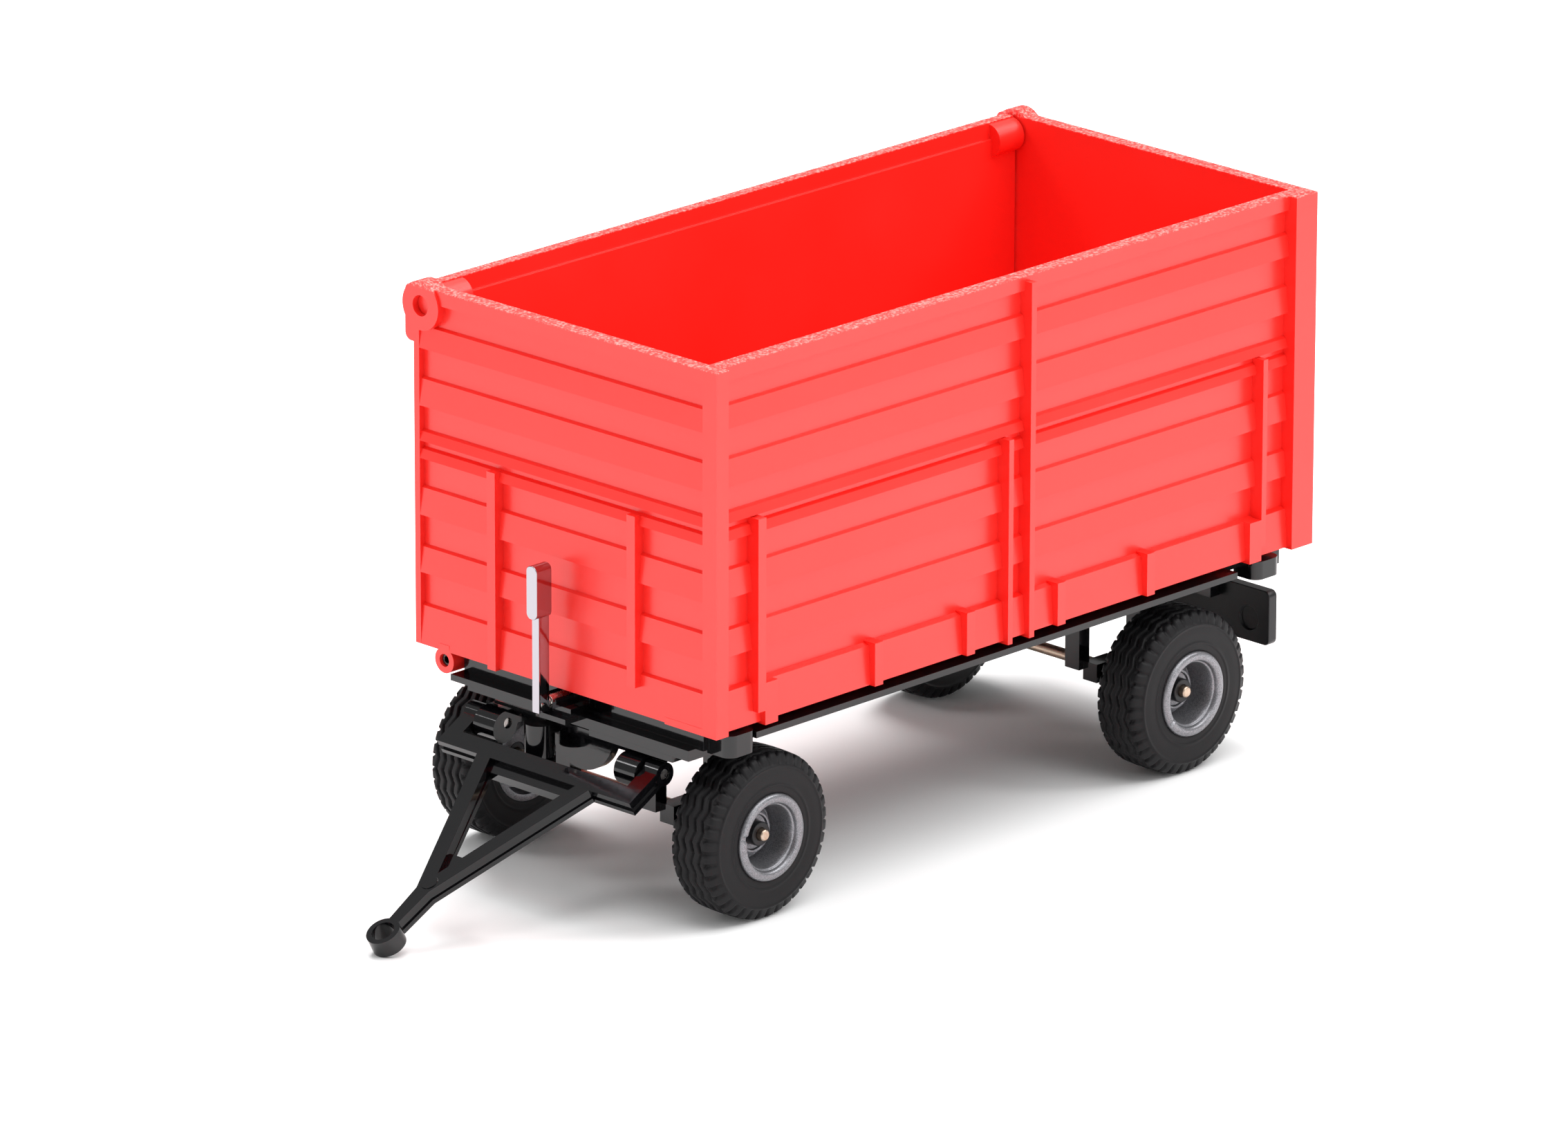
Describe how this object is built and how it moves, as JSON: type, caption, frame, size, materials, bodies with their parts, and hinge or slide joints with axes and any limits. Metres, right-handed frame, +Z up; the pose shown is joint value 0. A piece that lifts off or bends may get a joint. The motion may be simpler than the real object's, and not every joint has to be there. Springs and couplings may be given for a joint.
{
  "type": "side-tipping farm trailer model",
  "caption": "Toy-scale two-axle side-tipping farm trailer: ribbed red tub, top-hung side flap, steered front axle, hinged drawbar and a hand lever that tips the tub.",
  "frame": {"origin": "on the ground under the centre of the whole model, on the trailer's middle plane", "axes": "+X forward to the drawbar, +Y to the trailer's left, +Z up"},
  "size_m": [0.2062, 0.0787, 0.1073],
  "materials": {
    "red_plastic": "semi-gloss moulded",
    "black_diecast": "gloss paint",
    "black_plastic": "matte",
    "silver_rim": "silver",
    "tyre": "matte",
    "steel": "bright",
    "axle_end": "bright, coppery",
    "chrome_lever": "polished"
  },
  "bodies": {
    "chassis_body": {"chassis": "black_diecast", "kingpin": "steel", "rear_axle_carrier": "black_diecast", "carrier_rivets": "steel", "rear_light_bar": "black_plastic", "front_hinge_pin": "steel", "rear_hinge_pin": "steel"},
    "tub_body": {"tub": "red_plastic"},
    "flap_body": {"side_flap": "red_plastic"},
    "lever_body": {"tipping_lever": "chrome_lever", "tipping_shaft": "steel", "lifting_arm": "black_diecast"},
    "turntable_body": {"turntable": "black_diecast", "left_drawbar_pin": "steel", "right_drawbar_pin": "steel"},
    "drawbar_body": {"drawbar": "black_diecast"},
    "front_wheelset": {"front_axle": "axle_end", "front_left_rim": "silver_rim", "front_left_tyre": "tyre", "front_left_hub_core": "black_plastic", "front_right_rim": "silver_rim", "front_right_tyre": "tyre", "front_right_hub_core": "black_plastic"},
    "rear_wheelset": {"rear_axle": "axle_end", "rear_left_rim": "silver_rim", "rear_left_tyre": "tyre", "rear_left_hub_core": "black_plastic", "rear_right_rim": "silver_rim", "rear_right_tyre": "tyre", "rear_right_hub_core": "black_plastic"}
  },
  "joints": [
    {"name": "tub_tip", "type": "hinge", "parent": "chassis_body", "child": "tub_body", "pos_m": [0.05484, -0.0308, 0.0368], "axis": [1, 0, 0], "range_deg": [0, 40.5]},
    {"name": "flap_swing", "type": "hinge", "parent": "tub_body", "child": "flap_body", "pos_m": [0.05484, -0.0359, 0.1027], "axis": [-1, 0, 0], "range_deg": [0, 80]},
    {"name": "lever_swing", "type": "hinge", "parent": "chassis_body", "child": "lever_body", "pos_m": [0.05484, -0.0016, 0.0366], "axis": [1, 0, 0], "range_deg": [0, 90]},
    {"name": "turntable_steer", "type": "hinge", "parent": "chassis_body", "child": "turntable_body", "pos_m": [0.03884, 0, 0.0316], "axis": [0, 0, 1], "range_deg": [-90, 90]},
    {"name": "drawbar_pitch", "type": "hinge", "parent": "turntable_body", "child": "drawbar_body", "pos_m": [0.05404, 0, 0.0284], "axis": [0, -1, 0], "range_deg": [0, 36]},
    {"name": "front_wheels_spin", "type": "hinge", "parent": "turntable_body", "child": "front_wheelset", "pos_m": [0.03884, 0, 0.0156], "axis": [0, 1, 0], "continuous": true},
    {"name": "rear_wheels_spin", "type": "hinge", "parent": "chassis_body", "child": "rear_wheelset", "pos_m": [-0.07216, 0, 0.0156], "axis": [0, 1, 0], "continuous": true}
  ],
  "couplings": [
    {"joint": "lever_swing", "follows": "tub_tip", "ratio": 2.2222}
  ]
}
